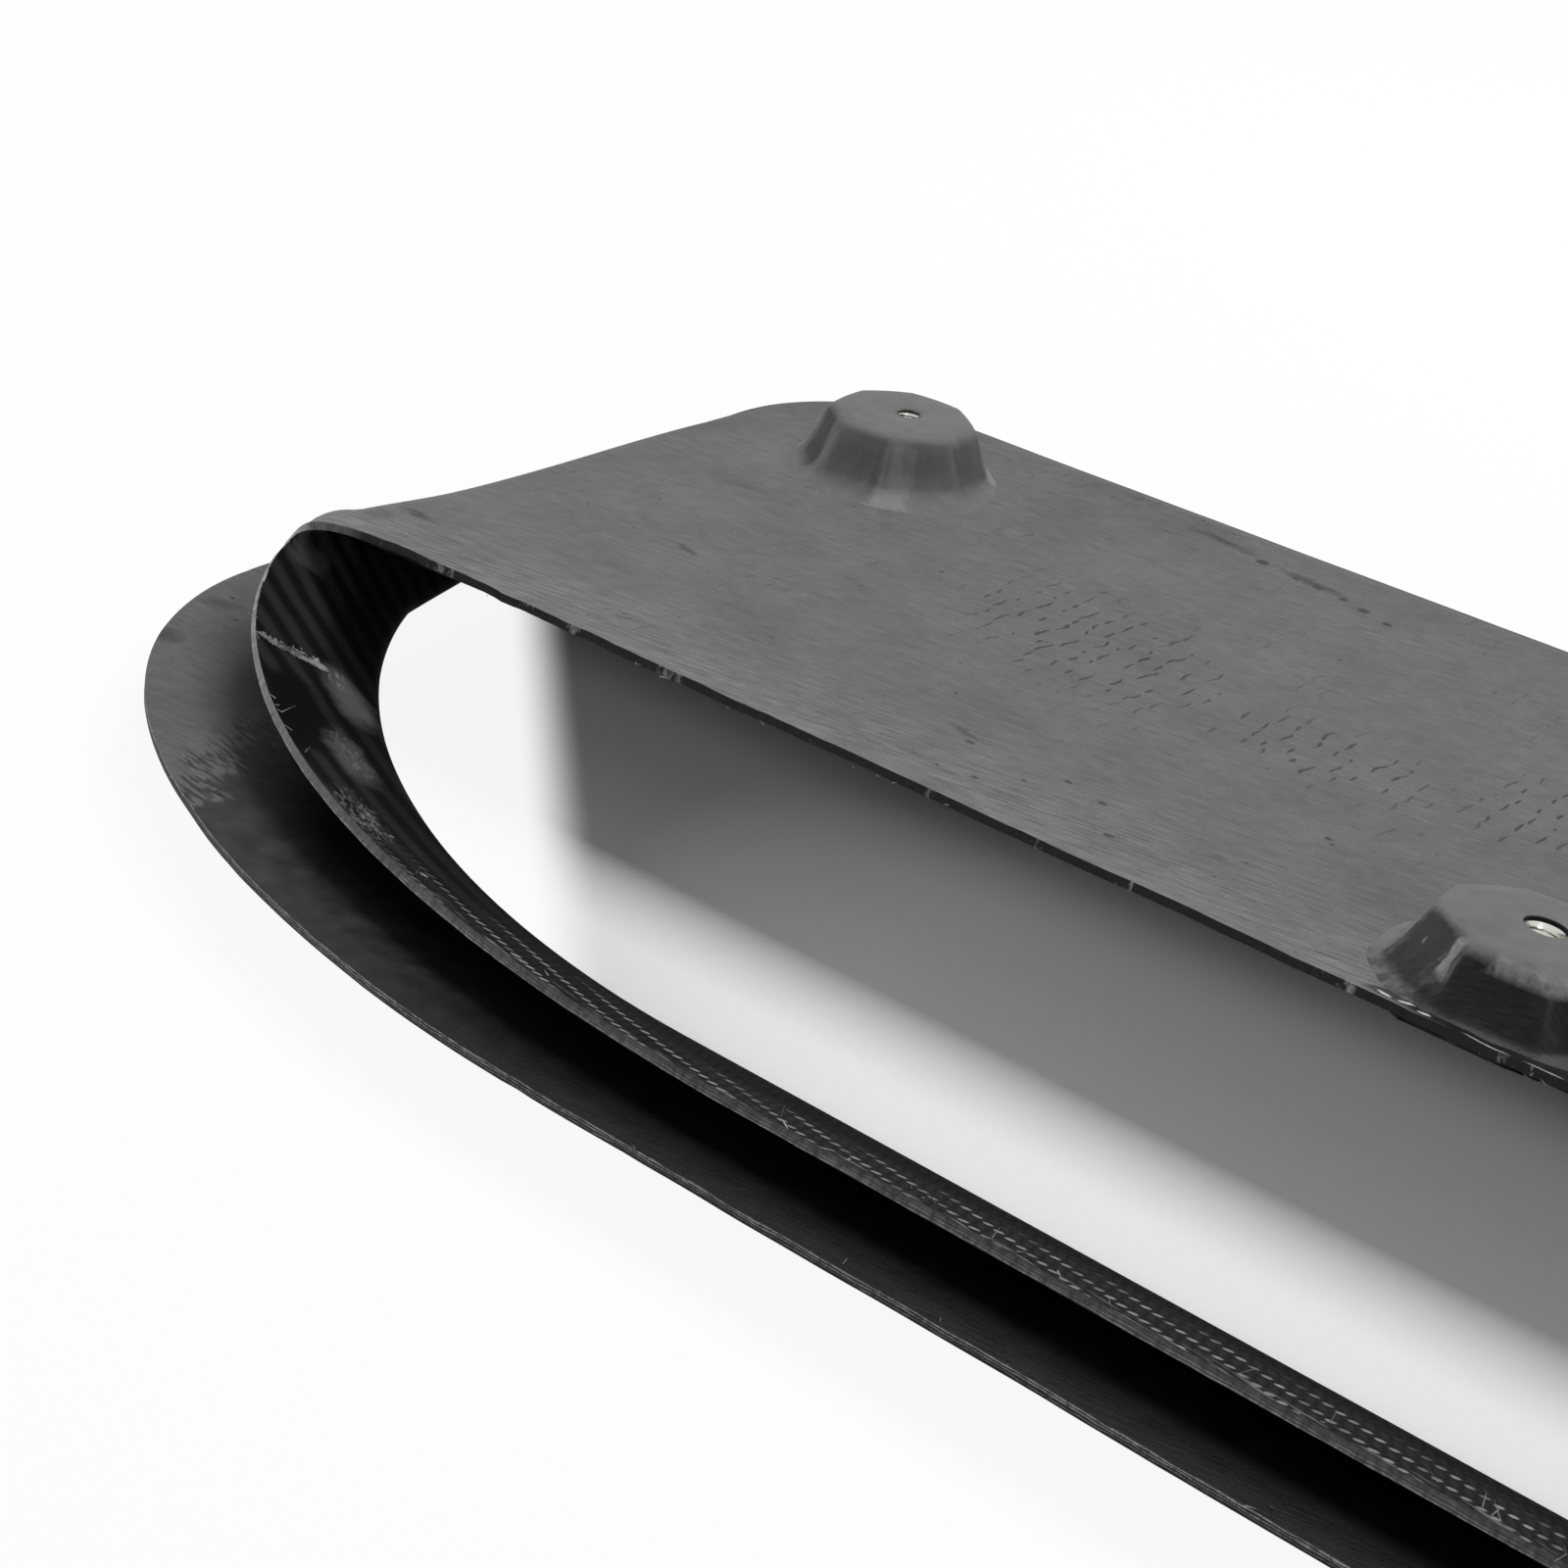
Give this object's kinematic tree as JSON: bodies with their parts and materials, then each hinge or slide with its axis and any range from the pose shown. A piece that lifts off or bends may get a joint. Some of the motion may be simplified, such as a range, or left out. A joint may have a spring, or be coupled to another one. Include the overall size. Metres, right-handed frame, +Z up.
{
  "type": "bonnet scoop",
  "caption": "Wide one-piece carbon-fibre bonnet scoop, underside up: flat flange, folded-back lip, throat slot, ramp sheet and bosses with threaded inserts.",
  "frame": {"origin": "on the surface the scoop lies on, under the middle of its width and depth", "axes": "+X across the bonnet along the scoop's width, +Y from the lip to the scoop's front edge, +Z up, away from the scoop's outer side, as it lies upside down"},
  "size_m": [0.6338, 0.33, 0.0494],
  "materials": {
    "carbon_laminate": "dry grey laminate on the inside, glossy carbon twill on the moulded side",
    "insert_metal": "bright turned metal"
  },
  "bodies": {
    "root": {"scoop_shell": "carbon_laminate", "threaded_inserts": "insert_metal"}
  },
  "joints": []
}
